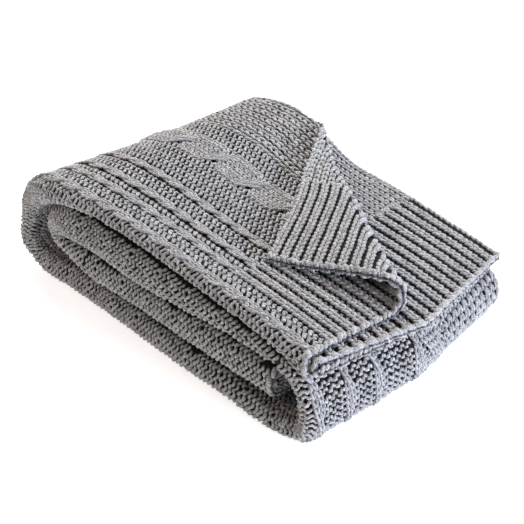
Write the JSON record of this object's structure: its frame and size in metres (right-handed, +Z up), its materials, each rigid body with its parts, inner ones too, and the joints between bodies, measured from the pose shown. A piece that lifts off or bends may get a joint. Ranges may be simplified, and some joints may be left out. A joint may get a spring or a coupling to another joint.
{
  "type": "cable knit baby blanket",
  "caption": "Chunky grey cable knit baby blanket, quarter folded and rolled flat over, with one ribbed hem corner turned back on top",
  "frame": {"origin": "on the supporting surface, under the middle of the folded blanket's bounding box", "axes": "+X towards the end with the outer hem, along the roll-folded length; +Y away from the long side with the double folded edges; +Z up"},
  "size_m": [0.3168, 0.2207, 0.0896],
  "materials": {
    "blanket": "matt grey melange yarn in a chunky cable knit"
  },
  "bodies": {
    "root": {"blanket": "blanket"}
  },
  "joints": []
}
